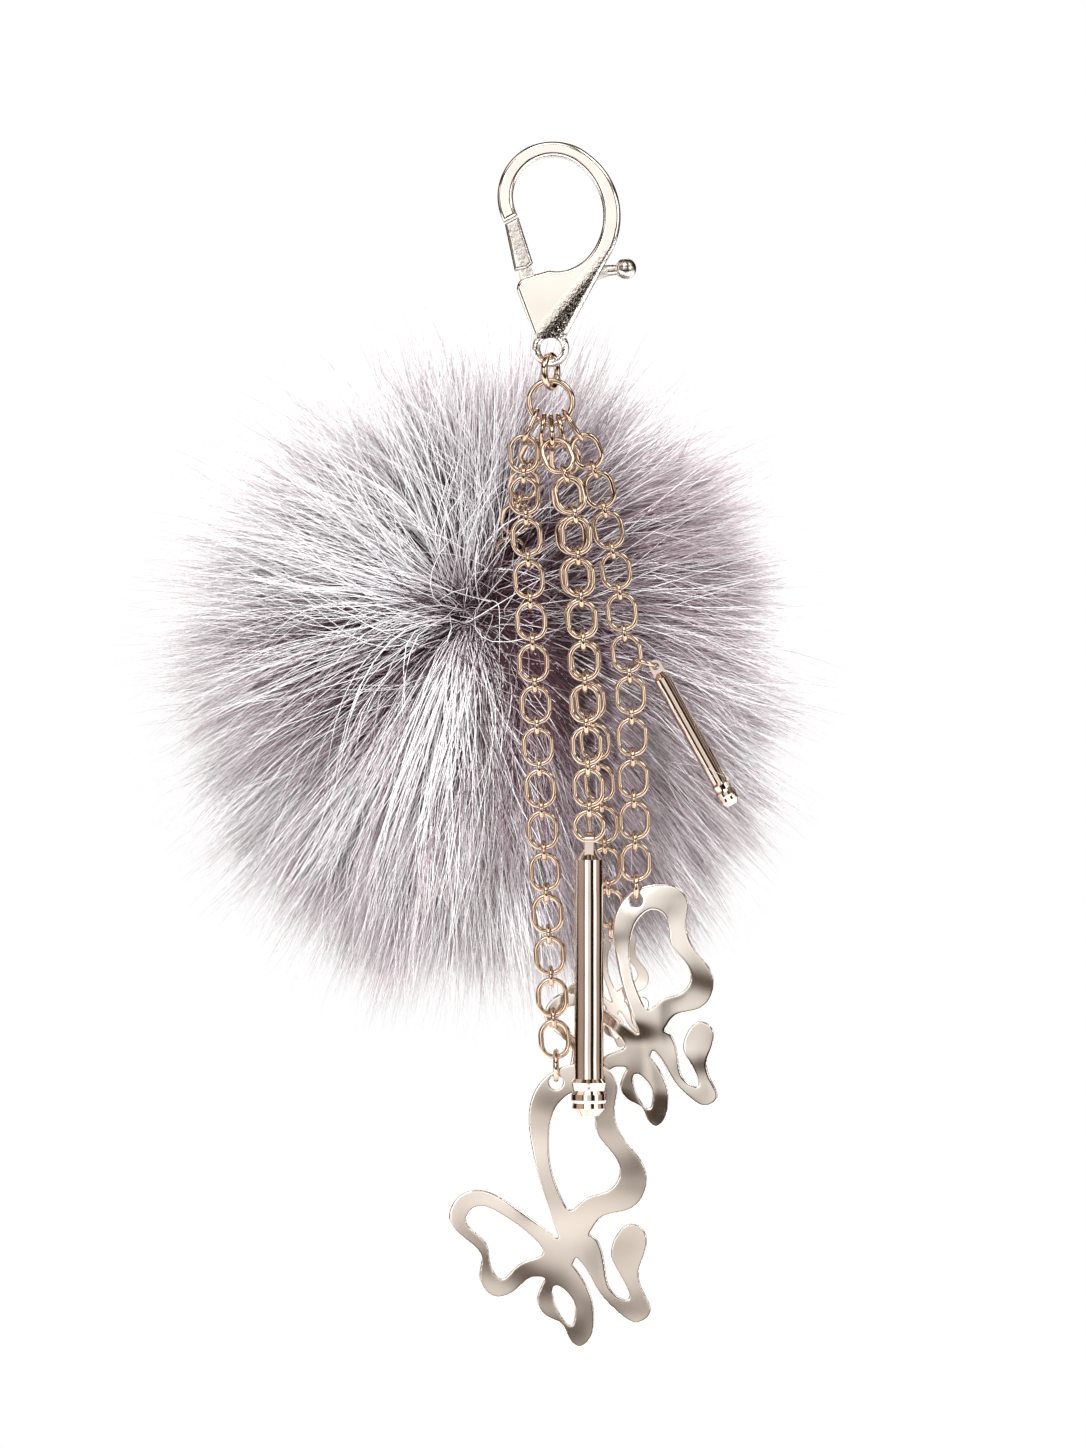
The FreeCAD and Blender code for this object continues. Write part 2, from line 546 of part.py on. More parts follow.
def write_parts():
    os.makedirs("parts", exist_ok=True)
    for name, solids in PARTS.items():
        shape = solids[0] if len(solids) == 1 else Part.makeCompound(solids)
        shape.exportStep("parts/" + name + ".step")


make_clasp()
make_rings()
make_left_strand()
make_front_strand()
make_right_strand()
make_hidden_strand()
make_pompom()
write_parts()
print(len(PARTS), "nodes")
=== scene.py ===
import math

import bmesh
import bpy
import numpy as np
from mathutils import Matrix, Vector


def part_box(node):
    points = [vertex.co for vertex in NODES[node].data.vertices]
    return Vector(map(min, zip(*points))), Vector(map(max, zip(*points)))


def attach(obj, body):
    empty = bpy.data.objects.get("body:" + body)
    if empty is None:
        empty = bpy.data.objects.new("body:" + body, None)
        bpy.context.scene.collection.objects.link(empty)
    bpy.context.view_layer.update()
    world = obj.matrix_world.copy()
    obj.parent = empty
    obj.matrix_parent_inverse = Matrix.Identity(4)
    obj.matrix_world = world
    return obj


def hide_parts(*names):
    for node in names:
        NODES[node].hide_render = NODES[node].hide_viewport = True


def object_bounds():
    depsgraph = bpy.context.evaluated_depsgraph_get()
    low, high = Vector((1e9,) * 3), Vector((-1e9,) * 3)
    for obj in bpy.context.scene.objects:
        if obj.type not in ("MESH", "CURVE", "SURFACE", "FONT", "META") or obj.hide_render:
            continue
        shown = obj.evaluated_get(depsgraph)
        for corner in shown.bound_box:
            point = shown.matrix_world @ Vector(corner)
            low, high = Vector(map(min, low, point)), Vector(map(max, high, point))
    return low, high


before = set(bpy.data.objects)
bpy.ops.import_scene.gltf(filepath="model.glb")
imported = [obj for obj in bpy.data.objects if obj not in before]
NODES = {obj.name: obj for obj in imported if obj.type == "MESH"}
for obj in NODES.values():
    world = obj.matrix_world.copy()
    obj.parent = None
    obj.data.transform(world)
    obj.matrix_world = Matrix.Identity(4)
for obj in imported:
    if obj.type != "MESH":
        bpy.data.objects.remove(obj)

CAD_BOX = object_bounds()
MM = 0.001


# ---------------------------------------------------------------- camera

CAMERA_DISTANCE = 1.5       # far enough back that the picture has hardly any perspective
CAMERA_X = -0.0018
CAMERA_Z = -0.0949
PICTURE_HEIGHT = 0.2607     # what the picture takes in, measured where the keychain hangs
SENSOR_HEIGHT = 24.0
CLIP_END = 20.0


def make_camera():
    """Level camera straight in front of the keychain."""
    data = bpy.data.cameras.new("camera")
    data.sensor_fit = "VERTICAL"
    data.sensor_height = SENSOR_HEIGHT
    data.lens = data.sensor_height * CAMERA_DISTANCE / PICTURE_HEIGHT
    data.clip_end = CLIP_END
    camera = bpy.data.objects.new("camera", data)
    bpy.context.scene.collection.objects.link(camera)
    camera.location = (CAMERA_X, -CAMERA_DISTANCE, CAMERA_Z)
    camera.rotation_euler = (math.radians(90), 0, 0)
    bpy.context.scene.camera = camera


make_camera()


# ---------------------------------------------------------------- shader nodes

class Graph:
    """The shader nodes of a material or world, with short calls that add and join them."""

    def __init__(self, owner, shader):
        owner.use_nodes = True
        self.owner = owner
        self.nodes = owner.node_tree.nodes
        self.links = owner.node_tree.links
        self.shader = self.nodes[shader]

    def add(self, kind, **values):
        node = self.nodes.new(kind)
        for key, value in values.items():
            if key in node.inputs:
                node.inputs[key].default_value = value
            else:
                setattr(node, key, value)
        return node

    def join(self, source, output, target, socket):
        self.links.new(source.outputs[output], target.inputs[socket])

    def ramp(self, source, output, stops):
        node = self.nodes.new("ShaderNodeValToRGB")
        elements = node.color_ramp.elements
        while len(elements) < len(stops):
            elements.new(0.5)
        for element, (place, colour) in zip(elements, stops):
            element.position = place
            element.color = (*colour, 1.0)
        self.join(source, output, node, "Fac")
        return node

    def spread(self, source, output, old, new=(0.0, 1.0)):
        """Maps one range of a value onto another."""
        node = self.nodes.new("ShaderNodeMapRange")
        node.inputs["From Min"].default_value = old[0]
        node.inputs["From Max"].default_value = old[1]
        node.inputs["To Min"].default_value = new[0]
        node.inputs["To Max"].default_value = new[1]
        self.join(source, output, node, "Value")
        return node

    def math(self, operation, source, output, number):
        """One sum on a value and a fixed number."""
        node = self.nodes.new("ShaderNodeMath")
        node.operation = operation
        node.inputs[1].default_value = number
        self.join(source, output, node, 0)
        return node

    def bump(self, source, output, distance, strength=1.0, under=None):
        """A bump, laid over an earlier one where there is one."""
        node = self.add("ShaderNodeBump", Strength=strength, Distance=distance)
        self.join(source, output, node, "Height")
        if under:
            self.join(under, "Normal", node, "Normal")
        return node


def material_graph(name):
    return Graph(bpy.data.materials.new(name), "Principled BSDF")


# ---------------------------------------------------------------- metals

CLOUD_SCALE = 55.0          # drift of the plating's colour
SCRATCH_SCALE = 900.0
SCRATCH_STRETCH = (1.0, 1.0, 0.12)
SCRATCH_DEPTH = 0.00004
GRAIN_SCALE = 1500.0        # sand-cast grain


def plating(name, light, dark, roughness, wear=0.06, wave_scale=90.0, wave_height=0.0002):
    """Polished plating: slight colour drift, faint scratches and a little unevenness in the polish."""
    g = material_graph(name)
    place = g.add("ShaderNodeTexCoord")
    cloud = g.add("ShaderNodeTexNoise", Scale=CLOUD_SCALE, Detail=3.0, Roughness=0.6)
    g.join(place, "Object", cloud, "Vector")
    tint = g.ramp(cloud, "Fac", [(0.3, dark), (0.7, light)])
    g.join(tint, "Color", g.shader, "Base Color")
    scratch_space = g.add("ShaderNodeMapping", Scale=SCRATCH_STRETCH)
    g.join(place, "Object", scratch_space, "Vector")
    scratch = g.add("ShaderNodeTexNoise", Scale=SCRATCH_SCALE, Detail=6.0, Roughness=0.7)
    g.join(scratch_space, "Vector", scratch, "Vector")
    polish = g.spread(scratch, "Fac", (0.0, 1.0), (roughness, roughness + wear))
    g.join(polish, "Result", g.shader, "Roughness")
    scored = g.bump(scratch, "Fac", SCRATCH_DEPTH, strength=0.06)
    swell = g.add("ShaderNodeTexNoise", Scale=wave_scale, Detail=1.0, Roughness=0.4)
    g.join(place, "Object", swell, "Vector")
    waved = g.bump(swell, "Fac", wave_height, under=scored)
    g.join(waved, "Normal", g.shader, "Normal")
    g.shader.inputs["Metallic"].default_value = 1.0
    return g, waved


def metal(*finish, **waves):
    return plating(*finish, **waves)[0].owner


def past_line(g, point, degrees):
    """Distance in metres past a line in the front view, through a point and at an angle to the X axis."""
    turn = math.radians(degrees)
    across = (math.sin(turn), 0.0, -math.cos(turn))
    place = g.add("ShaderNodeTexCoord")
    measure = g.add("ShaderNodeVectorMath", operation="DOT_PRODUCT")
    g.join(place, "Object", measure, 0)
    measure.inputs[1].default_value = across
    return g.math("SUBTRACT", measure, "Value", point[0] * across[0] + point[1] * across[2])


def frosted(name, light, dark, roughness, point, degrees, fade, grain, dome=0.0):
    """Plating that is cast rough past a line, where the face may also fall away in a soft dome."""
    g, last = plating(name, light, dark, roughness, wear=0.08)
    line = past_line(g, point, degrees)
    share = g.spread(line, "Value", (0.0, fade))
    place = g.add("ShaderNodeTexCoord")
    grains = g.add("ShaderNodeTexNoise", Scale=GRAIN_SCALE, Detail=2.0, Roughness=0.6)
    g.join(place, "Object", grains, "Vector")
    rough = g.add("ShaderNodeMath", operation="MULTIPLY")
    g.join(grains, "Fac", rough, 0)
    g.join(share, "Result", rough, 1)
    last = g.bump(rough, "Value", grain, under=last)
    if dome:
        beyond = g.math("MAXIMUM", line, "Value", 0.0)
        fall = g.math("POWER", beyond, "Value", 2.0)
        down = g.math("MULTIPLY", fall, "Value", -dome)
        last = g.bump(down, "Value", 1.0, under=last)
    g.join(last, "Normal", g.shader, "Normal")
    return g.owner


# Chain, rings and other small parts: a darker, browner copy of the plating, partly the links' own
# golden-brown and partly painted shade standing in for the dark reflections along their wires.
DARKENED_CHAMPAGNE = metal("darkened_champagne_plating", (0.72, 0.56, 0.44), (0.56, 0.42, 0.32), 0.06)
# Clasp and gate pin: a near-white copy of the champagne plating, a painted highlight standing in for the
# clasp's hot shine.
HIGHLIT_CLASP_METAL = frosted("highlit_clasp_plating", (0.96, 0.91, 0.86), (0.92, 0.85, 0.78), 0.10,
                      point=(-0.0010, -0.0212), degrees=50.0, fade=0.0015, grain=0.00015, dome=50.0)
GATE_METAL = frosted("gate_plating", (0.72, 0.68, 0.64), (0.60, 0.56, 0.52), 0.16,
                     point=(-0.0062, -0.0130), degrees=107.0, fade=0.0004, grain=0.00009)
CHARM_METAL = metal("charm_plating", (0.80, 0.72, 0.66), (0.74, 0.66, 0.59), 0.08,
                    wave_scale=45.0, wave_height=0.0026)
SECOND_METAL = metal("second_charm_plating", (0.82, 0.76, 0.71), (0.74, 0.67, 0.61), 0.08,
                     wave_scale=75.0, wave_height=0.0030)
BAR_METAL = metal("bar_plating", (0.82, 0.70, 0.62), (0.74, 0.61, 0.53), 0.05)
SPRING_METAL = metal("spring_steel", (0.62, 0.62, 0.64), (0.50, 0.50, 0.53), 0.22)


# ---------------------------------------------------------------- hair, pelt and floor materials

GUARD_COLOURS = [(0.0, (0.30, 0.21, 0.245)), (0.10, (0.66, 0.60, 0.635)), (0.30, (0.86, 0.84, 0.865)),
                 (0.60, (0.91, 0.895, 0.915)), (1.0, (0.91, 0.90, 0.915))]
UNDER_COLOURS = [(0.0, (0.020, 0.008, 0.011)), (0.40, (0.085, 0.040, 0.052)),
                 (0.70, (0.36, 0.28, 0.315)), (1.0, (0.60, 0.55, 0.575))]
PELT_COLOURS = [(0.3, (0.035, 0.018, 0.022)), (0.7, (0.12, 0.07, 0.085))]
FLOOR_COLOUR = (0.90, 0.90, 0.90)


def fur_material():
    """Long hair: U of the map is the hair's tone, dark undercoat to white, and V runs from root to tip."""
    g = material_graph("fur_hair")
    place = g.add("ShaderNodeUVMap", uv_map="OFBake")
    split = g.add("ShaderNodeSeparateXYZ")
    g.join(place, "UV", split, "Vector")
    guard = g.ramp(split, "Y", GUARD_COLOURS)
    under = g.ramp(split, "Y", UNDER_COLOURS)
    kind = g.ramp(split, "X", [(0.34, (0.0, 0.0, 0.0)), (0.46, (1.0, 1.0, 1.0))])
    mix = g.add("ShaderNodeMix", data_type="RGBA")
    g.join(kind, "Color", mix, 0)
    g.join(under, "Color", mix, 6)
    g.join(guard, "Color", mix, 7)
    speckle = g.add("ShaderNodeTexNoise", Scale=38.0, Detail=1.0)
    g.join(place, "UV", speckle, "Vector")
    shade = g.spread(speckle, "Fac", (0.3, 0.7), (0.82, 1.12))
    tone = g.add("ShaderNodeVectorMath", operation="SCALE")
    g.join(mix, 2, tone, 0)
    g.join(shade, "Result", tone, "Scale")
    g.join(tone, "Vector", g.shader, "Base Color")
    g.shader.inputs["Roughness"].default_value = 0.5
    g.shader.inputs["Specular IOR Level"].default_value = 0.35
    return g.owner


def pelt_material():
    """Short dark undercoat on the stuffed core."""
    g = material_graph("pelt_backing")
    place = g.add("ShaderNodeTexCoord")
    noise = g.add("ShaderNodeTexNoise", Scale=420.0, Detail=4.0)
    g.join(place, "Object", noise, "Vector")
    tint = g.ramp(noise, "Fac", PELT_COLOURS)
    g.join(tint, "Color", g.shader, "Base Color")
    nap = g.bump(noise, "Fac", 0.0006, strength=0.8)
    g.join(nap, "Normal", g.shader, "Normal")
    g.shader.inputs["Roughness"].default_value = 0.9
    return g.owner


def floor_material():
    g = material_graph("pale_floor")
    place = g.add("ShaderNodeTexCoord")
    noise = g.add("ShaderNodeTexNoise", Scale=3.0)
    g.join(place, "Object", noise, "Vector")
    lighter = tuple(value * 1.01 for value in FLOOR_COLOUR)
    tint = g.ramp(noise, "Fac", [(0.0, FLOOR_COLOUR), (1.0, lighter)])
    g.join(tint, "Color", g.shader, "Base Color")
    g.shader.inputs["Roughness"].default_value = 0.95
    return g.owner


FUR = fur_material()
PELT = pelt_material()


def set_material(piece, material):
    piece.data.materials.clear()
    piece.data.materials.append(material)


def new_piece(name, mesh):
    piece = bpy.data.objects.new(name, mesh)
    bpy.context.scene.collection.objects.link(piece)
    return piece


def finish_cad_nodes():
    """Gives every carried-over CAD node its finish."""
    for name, piece in NODES.items():
        if name in ("clasp_body", "gate_pin"):
            set_material(piece, HIGHLIT_CLASP_METAL)
        elif name == "clasp_gate":
            set_material(piece, GATE_METAL)
        elif name == "gate_spring":
            set_material(piece, SPRING_METAL)
        elif "bar" in name and "ring" not in name:
            set_material(piece, BAR_METAL)
        else:
            set_material(piece, DARKENED_CHAMPAGNE)


# ---------------------------------------------------------------- butterflies

PLATE_VOXEL = 0.16 * MM
PLATE_ROUNDS = 9                   # smoothing steps
SMALL_PLATE_VOXEL = 0.10 * MM
SMALL_PLATE_ROUNDS = 7


def soften_plate(name, voxel, rounds, material):
    """Cast butterfly: the CAD plate with its edges rounded over, as tumbled castings are."""
    mesh = NODES[name].data.copy()
    mesh.name = name + "_cast"
    piece = new_piece(name + "_cast", mesh)
    remesh = piece.modifiers.new("remesh", "REMESH")
    remesh.mode = "VOXEL"
    remesh.voxel_size = voxel * 1.0
    remesh.use_smooth_shade = True
    smooth = piece.modifiers.new("smooth", "SMOOTH")
    smooth.iterations = rounds
    smooth.factor = 0.5
    graph = bpy.context.evaluated_depsgraph_get()
    softened = bpy.data.meshes.new_from_object(piece.evaluated_get(graph))
    piece.modifiers.clear()
    piece.data = softened
    set_material(piece, material)
    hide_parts(name)
    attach(piece, name)


# ---------------------------------------------------------------- pompom: where hair grows and lies

FUR_LOW, FUR_HIGH = (Vector(corner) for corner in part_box("pompom_fur"))
CORE_LOW, CORE_HIGH = (Vector(corner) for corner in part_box("pompom_core"))
CENTRE = np.array((CORE_LOW + CORE_HIGH) / 2)
CORE_R = (CORE_HIGH.x - CORE_LOW.x) / 2
ROOT_R = CORE_R * 0.985
PARTED_Y = FUR_LOW.y + 0.0004      # the hair lies behind this depth where the strands hang
LEFT_EDGE = -0.0085                # sides of the space that the strands press flat
RIGHT_EDGE = 0.0205
BULGE_Y = -0.013                   # how far forward the loose hair stands beside the strands
LEFT_RISE = 0.022                  # how far beside the strands the hair comes forward again
RIGHT_RISE = 0.020
WHORL = np.array([-0.0150, -0.0740])    # X and Z of the point that the front hair is brushed away from
SEGMENTS = 9                       # straight runs in a hair
SAG = np.array([0.0, 0.0, -0.30])

HAIR_SEED = 41
LOCKS = 520
WISPS = 7200
HAIRS_PER_WISP = 8
STRAYS = 4200
SECTORS = 20                       # pieces that the hair is split into round the ball
LOCK_LENGTH = 0.0470
SHORTEST = 0.030
LONGEST = 0.0545
STRAY_LENGTH = 0.0500
TRIM = (0.66, 1.0)                 # share of its wisp's length that a hair has
LOCK_COMB = 0.17                   # how far directions are scattered: of locks, wisps, hairs and strays
WISP_COMB = 0.10
HAIR_COMB = 0.06
STRAY_COMB = 0.38
ROOT_SCATTER = 0.045
BEND = 0.16
FLARE = 0.75 * MM                  # how far a hair's tip leaves its wisp
CURL = 0.55 * MM
STRAY_CURL = 1.1 * MM
HAIR_R = (0.075 * MM, 0.125 * MM)
STRAY_R = (0.045 * MM, 0.07 * MM)
HAIR_PROUD = 0.0118                # how far the longest hair may stand past the CAD ball
LOW_HAIR_EXTRA = 0.005             # more than that above and below


def smooth_step(low, high, value):
    share = np.clip((value - low) / (high - low), 0.0, 1.0)
    return share * share * (3.0 - 2.0 * share)


def unit(vectors):
    return vectors / np.maximum(np.linalg.norm(vectors, axis=-1, keepdims=True), 1e-9)


def along_hair():
    return np.linspace(0, 1, SEGMENTS + 1)[None, :, None]


def front_limit(x):
    """Smallest depth that hair may take at a place across the front."""
    left = smooth_step(0.0, LEFT_RISE, LEFT_EDGE - x)
    right = smooth_step(0.0, RIGHT_RISE, x - RIGHT_EDGE)
    return PARTED_Y + (BULGE_Y - PARTED_Y) * np.maximum(left, right)


def brushed_from_whorl(rng, start):
    """Directions in the front plane away from the whorl, drawn together into broad bunches."""
    spread = np.stack([start[:, 0] - WHORL[0], start[:, 2] - WHORL[1]], axis=1)
    spread = unit(spread + rng.normal(0, 0.0020, spread.shape))
    angle = np.arctan2(spread[:, 1], spread[:, 0])
    angle = angle + 0.17 * np.sin(5 * angle + 0.8) + 0.09 * np.sin(9 * angle + 2.0)
    spread = np.stack([np.cos(angle), np.sin(angle)], axis=1)
    return np.stack([spread[:, 0], 0.10 * np.ones(len(start)), spread[:, 1]], axis=1)


def grow(rng, roots, lengths, comb):
    """Paths of hairs as (hair, point, xyz) from unit root directions."""
    count = len(roots)
    start = CENTRE + roots * ROOT_R
    front = smooth_step(0.05, 0.75, -roots[:, 1])[:, None]
    flat = brushed_from_whorl(rng, start)
    aim = unit(roots * (1 - front) + flat * front + comb)
    bend = rng.normal(0, BEND, (count, 3))
    lift = roots * (1 - front * 0.85)
    points = np.empty((count, SEGMENTS + 1, 3))
    points[:, 0] = start
    position = start.copy()
    for step in range(SEGMENTS):
        share = (step + 1) / SEGMENTS
        turn = 1 - (1 - share) ** 2.2
        heading = unit(lift * (1 - turn) + aim * turn + bend * (share - 0.3) + SAG * share ** 2)
        position = position + heading * (lengths / SEGMENTS)[:, None]
        limit = front_limit(position[:, 0])
        position[:, 1] = np.maximum(position[:, 1], limit + (position[:, 1] - limit) * 0.04)
        points[:, step + 1] = position
    return points


def gather(paths, guides, strength, power):
    """Draws paths towards their guides, more and more towards the tips."""
    pull = strength * along_hair() ** power
    return paths * (1 - pull) + guides * pull


def shorten(guides, share):
    """The guides as if cut back to a share of their length."""
    spots = np.linspace(0, 1, SEGMENTS + 1)[None, :] * share[:, None] * SEGMENTS
    low = np.minimum(spots.astype(int), SEGMENTS - 1)
    rest = (spots - low)[..., None]
    rows = np.arange(len(guides))[:, None]
    return guides[rows, low] * (1 - rest) + guides[rows, low + 1] * rest


def curls(rng, count, size):
    """Slight waves for hairs, each in a plane of its own."""
    along = along_hair()
    turns = rng.uniform(1.0, 2.4, (count, 1, 1))
    phase = rng.uniform(0, 2 * math.pi, (count, 1, 1))
    sway = unit(rng.normal(0, 1, (count, 1, 3)))
    height = np.abs(rng.normal(0, size, (count, 1, 1)))
    return sway * height * np.sin(2 * math.pi * turns * along + phase) * np.minimum(1, along * 3)


def fur_paths(rng):
    """Hairs gather in fine wisps and the wisps gather in broad locks."""
    lock_roots = unit(rng.normal(0, 1, (LOCKS, 3)))
    lock_comb = rng.normal(0, LOCK_COMB, (LOCKS, 3))
    lock_lengths = rng.normal(LOCK_LENGTH, 0.0030, LOCKS)
    lock_paths = grow(rng, lock_roots, lock_lengths, lock_comb)
    roots = unit(rng.normal(0, 1, (WISPS, 3)))
    roots[:, 1] -= 0.10             # a few more wisps at the front
    roots = unit(roots)
    lock = np.argmax(roots @ lock_roots.T, axis=1)
    lengths = np.clip(lock_lengths[lock] * rng.normal(0.96, 0.075, WISPS), SHORTEST, LONGEST)
    lengths *= 1.0 + 0.05 * np.clip(-roots[:, 2], 0, 1)
    comb = lock_comb[lock] + rng.normal(0, WISP_COMB, (WISPS, 3))
    guide = grow(rng, roots, lengths, comb)
    cut_lock = shorten(lock_paths[lock], np.clip(lengths / lock_lengths[lock], 0, 1))
    guide = gather(guide, cut_lock, 0.42, 1.2)
    paths = []
    for _ in range(HAIRS_PER_WISP):
        own_roots = unit(roots + rng.normal(0, ROOT_SCATTER, (WISPS, 3)))
        share = rng.uniform(*TRIM, WISPS)
        own = grow(rng, own_roots, lengths * share, comb + rng.normal(0, HAIR_COMB, (WISPS, 3)))
        own = gather(own, shorten(guide, share), 0.80, 0.9)
        flare = rng.normal(0, FLARE, (WISPS, 1, 3)) * along_hair() ** 1.5
        paths.append(own + flare + curls(rng, WISPS, CURL))
    return np.concatenate(paths), np.tile(lock, HAIRS_PER_WISP)


def stray_paths(rng):
    """Single fine hairs that stand past the wisps."""
    roots = unit(rng.normal(0, 1, (STRAYS, 3)))
    lengths = rng.normal(STRAY_LENGTH, 0.0045, STRAYS)
    paths = grow(rng, roots, lengths, rng.normal(0, STRAY_COMB, (STRAYS, 3)))
    return paths + curls(rng, STRAYS, STRAY_CURL)


def within_reach(rng, paths):
    """Cuts back the hairs that stand out past the ball's outline, each at a slightly different place."""
    radius = FUR_HIGH.x - CENTRE[0] + HAIR_PROUD
    reach = np.array([radius, radius, radius + LOW_HAIR_EXTRA])
    limit = rng.uniform(0.90, 1.0, (len(paths), 1))
    away = np.linalg.norm((paths - CENTRE) / reach, axis=2)
    inside = np.cumprod(away < limit, axis=1).sum(axis=1) - 1
    rows = np.arange(len(paths))
    after = np.minimum(inside + 1, SEGMENTS)
    step = away[rows, after] - away[rows, inside]
    part = np.clip((limit[:, 0] - away[rows, inside]) / np.maximum(step, 1e-6), 0.0, 1.0)
    share = np.where(inside >= SEGMENTS, 1.0, (inside + part) / SEGMENTS)
    return shorten(paths, np.clip(share, 0.3, 1.0))


# ---------------------------------------------------------------- pompom: tones of the hair, with painted shade in them

STRAND_PAINTED_SHADE = 0.50                # painted shade under the hanging strands, where the parting also shows the dark undercoat
STRAND_SHADE_END = -0.122          # height where that parting closes again
# painted shade round the whorl, partly dark undercoat showing where the hair parts
WHORL_PAINTED_SHADE = 0.33
# painted shade: hair darker towards the bottom of the ball, below LOW_START
LOW_PAINTED_SHADE = 0.22
LOW_START = -0.090
PAINTED_SHADE_VALLEYS = [                        # direction from the whorl and spread, in radians, and painted shade in the valley, partly dark undercoat showing
    (-2.30, 0.22, 0.38),
    (-1.15, 0.30, 0.30),
]


# painted shade in the band of hair under the hanging strands
def strand_painted_shade(x, z):
    band = smooth_step(0.0, 0.005, x - LEFT_EDGE + 0.003) * smooth_step(0.0, 0.006, RIGHT_EDGE - x)
    return band * smooth_step(0.0, 0.012, z - STRAND_SHADE_END) * STRAND_PAINTED_SHADE


# painted shade in the valleys between locks
def valley_painted_shade(turn, distance):
    total = 0.0
    for direction, spread, shade in PAINTED_SHADE_VALLEYS:
        total = total + np.exp(-((turn - direction) / spread) ** 2) * shade
    return total * smooth_step(0.004, 0.010, distance) * (1 - smooth_step(0.022, 0.040, distance))


def painted_shade_depth(paths):
    """How far painted shade darkens the hair, partly dark undercoat showing: under the strands, round the
    whorl, in valleys and low down.
    """
    spot = paths[:, SEGMENTS // 3]
    front = smooth_step(0.0, 0.35, (CENTRE[1] - spot[:, 1]) / CORE_R)
    away_x = spot[:, 0] - WHORL[0]
    away_z = spot[:, 2] - WHORL[1]
    distance = np.hypot(away_x, away_z)
    strand = strand_painted_shade(spot[:, 0], spot[:, 2])
    whorl = (1 - smooth_step(0.005, 0.016, distance)) * WHORL_PAINTED_SHADE
    valley = valley_painted_shade(np.arctan2(away_z, away_x), distance)
    low = smooth_step(0.0, 0.020, LOW_START - spot[:, 2]) * LOW_PAINTED_SHADE
    return np.maximum(np.maximum(strand, whorl), np.maximum(valley, low)) * front


# ---------------------------------------------------------------- pompom: hair meshes

CORNERS = 3                        # sides of a hair
SIDEWAYS = np.array([0.31, 0.82, 0.48])    # any direction that few hairs run in
TAPER_PLACES = [0.0, 0.35, 0.75, 1.0]
TAPER_WIDTHS = [0.85, 1.0, 0.62, 0.15]


def hair_points(paths, widths, rings):
    """Corner points of tapering three-sided hairs, and the point at each tip."""
    count = len(paths)
    along = paths[:, 1:] - paths[:, :-1]
    along = unit(np.concatenate([along, along[:, -1:]], axis=1))
    side = unit(np.cross(along, np.tile(SIDEWAYS, (count, rings + 1, 1))))
    other = np.cross(along, side)
    taper = np.interp(np.linspace(0, 1, rings + 1), TAPER_PLACES, TAPER_WIDTHS)
    reach = (widths[:, None] * taper[None, :rings])[..., None]
    corners = []
    for corner in range(CORNERS):
        angle = corner * 2 * math.pi / CORNERS
        ring = side[:, :rings] * math.cos(angle) + other[:, :rings] * math.sin(angle)
        corners.append(paths[:, :rings] + ring * reach)
    body = np.stack(corners, axis=2).reshape(count, rings * CORNERS, 3)
    return np.concatenate([body, paths[:, -1:, :]], axis=1)


def hair_faces(count, rings):
    """Corner numbers of every face, and the number of corners of each face."""
    quads = []
    for ring in range(rings - 1):
        low = ring * CORNERS
        for corner in range(CORNERS):
            after = (corner + 1) % CORNERS
            quads.append([low + corner, low + after, low + CORNERS + after, low + CORNERS + corner])
    last = (rings - 1) * CORNERS
    tips = [[last + corner, last + (corner + 1) % CORNERS, rings * CORNERS] for corner in range(CORNERS)]
    first = (np.arange(count) * (rings * CORNERS + 1))[:, None]
    quad_loops = (first + np.array(quads).reshape(1, -1)).reshape(count, -1)
    tip_loops = (first + np.array(tips).reshape(1, -1)).reshape(count, -1)
    loops = np.concatenate([quad_loops, tip_loops], axis=1).astype(np.int32)
    sizes = np.array([4] * len(quads) + [3] * len(tips), dtype=np.int32)
    return loops.reshape(-1), np.tile(sizes, count)


def map_hair(mesh, loops, tones, rings):
    """The map: U is the hair's tone with a narrow width, V runs along the hair."""
    share = np.linspace(0, 1, rings + 1)
    vertex_v = np.concatenate([np.repeat(share[:rings], CORNERS), [1.0]])
    corner_u = np.concatenate([np.tile([0.0, 0.5, 1.0], rings), [0.5]])
    u = tones[:, None] * 0.985 + 0.006 * corner_u[None, :]
    v = np.broadcast_to(0.004 + 0.992 * vertex_v, u.shape)
    pairs = np.stack([u.reshape(-1), v.reshape(-1)], axis=1)[loops]
    layer = mesh.uv_layers.new(name="OFBake")
    layer.data.foreach_set("uv", pairs.reshape(-1).astype(np.float32))


def hair_mesh(name, paths, widths, tones):
    rings = SEGMENTS
    points = hair_points(paths, widths, rings)
    loops, sizes = hair_faces(len(paths), rings)
    starts = np.concatenate([[0], np.cumsum(sizes)[:-1]]).astype(np.int32)
    mesh = bpy.data.meshes.new(name)
    mesh.vertices.add(points.shape[0] * points.shape[1])
    mesh.vertices.foreach_set("co", points.reshape(-1).astype(np.float32))
    mesh.loops.add(loops.size)
    mesh.loops.foreach_set("vertex_index", loops)
    mesh.polygons.add(len(sizes))
    mesh.polygons.foreach_set("loop_start", starts)
    mesh.polygons.foreach_set("loop_total", sizes)
    mesh.polygons.foreach_set("use_smooth", np.ones(len(sizes), dtype=bool))
    mesh.update(calc_edges=True)
    map_hair(mesh, loops, tones, rings)
    mesh.validate()
    return mesh


